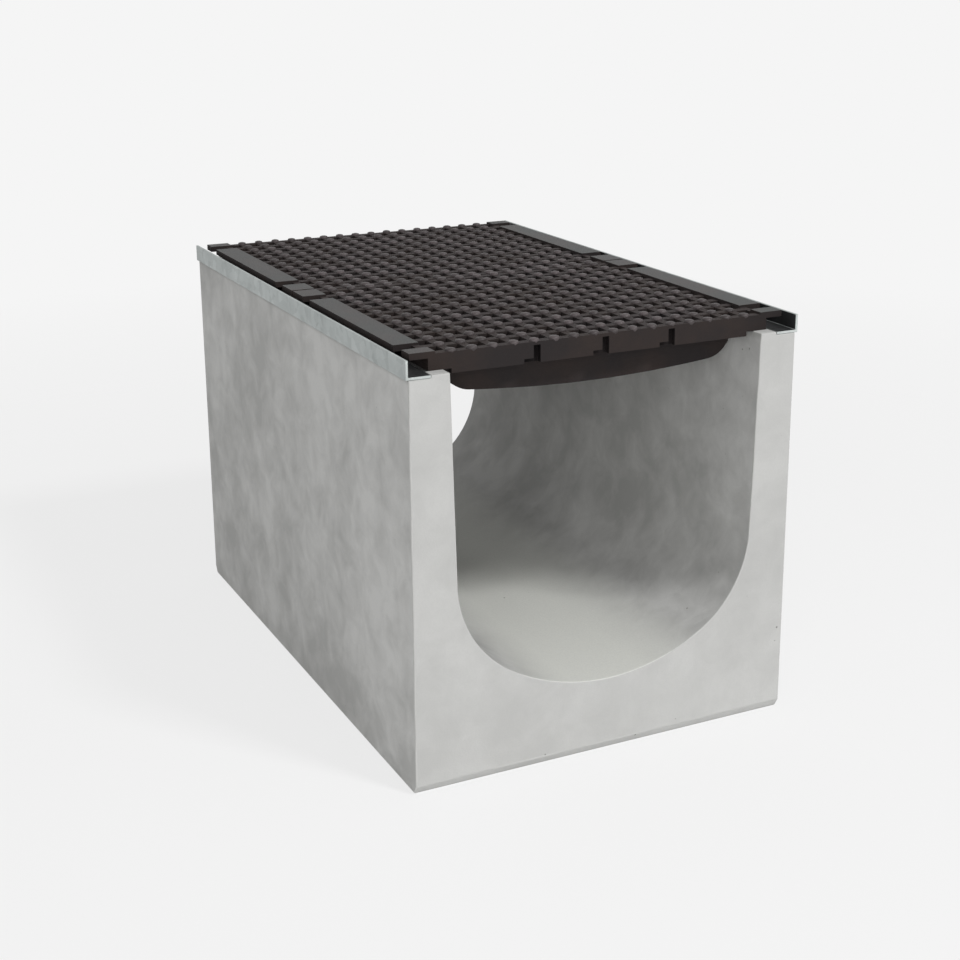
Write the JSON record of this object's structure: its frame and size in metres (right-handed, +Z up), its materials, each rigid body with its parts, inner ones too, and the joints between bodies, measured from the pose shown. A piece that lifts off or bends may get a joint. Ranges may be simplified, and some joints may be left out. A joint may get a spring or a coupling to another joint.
{
  "type": "concrete drainage channel",
  "caption": "Precast concrete drainage channel with steel edge rails and heavy cast-iron mesh gratings that lift out.",
  "frame": {"origin": "centre of the underside of the channel", "axes": "+X across the channel, +Y along the flow from the near end to the far end, +Z up"},
  "size_m": [0.648, 1, 0.6575],
  "materials": {
    "concrete": "matt cast concrete with pores and faint mottling",
    "galvanised_steel": "dull hot-dip galvanised",
    "cast_iron": "as cast, dark, slightly worn on the studs"
  },
  "bodies": {
    "channel": {"channel_body": "concrete", "edge_rail_left": "galvanised_steel", "edge_rail_right": "galvanised_steel"},
    "front_grating": {"grating_front": "cast_iron"},
    "rear_grating": {"grating_rear": "cast_iron"}
  },
  "joints": [
    {"name": "front_grating_lift", "type": "slide", "parent": "channel", "child": "front_grating", "axis": [0, 0, 1], "range_m": [0, 0.15]},
    {"name": "rear_grating_lift", "type": "slide", "parent": "channel", "child": "rear_grating", "axis": [0, 0, 1], "range_m": [0, 0.15]}
  ]
}
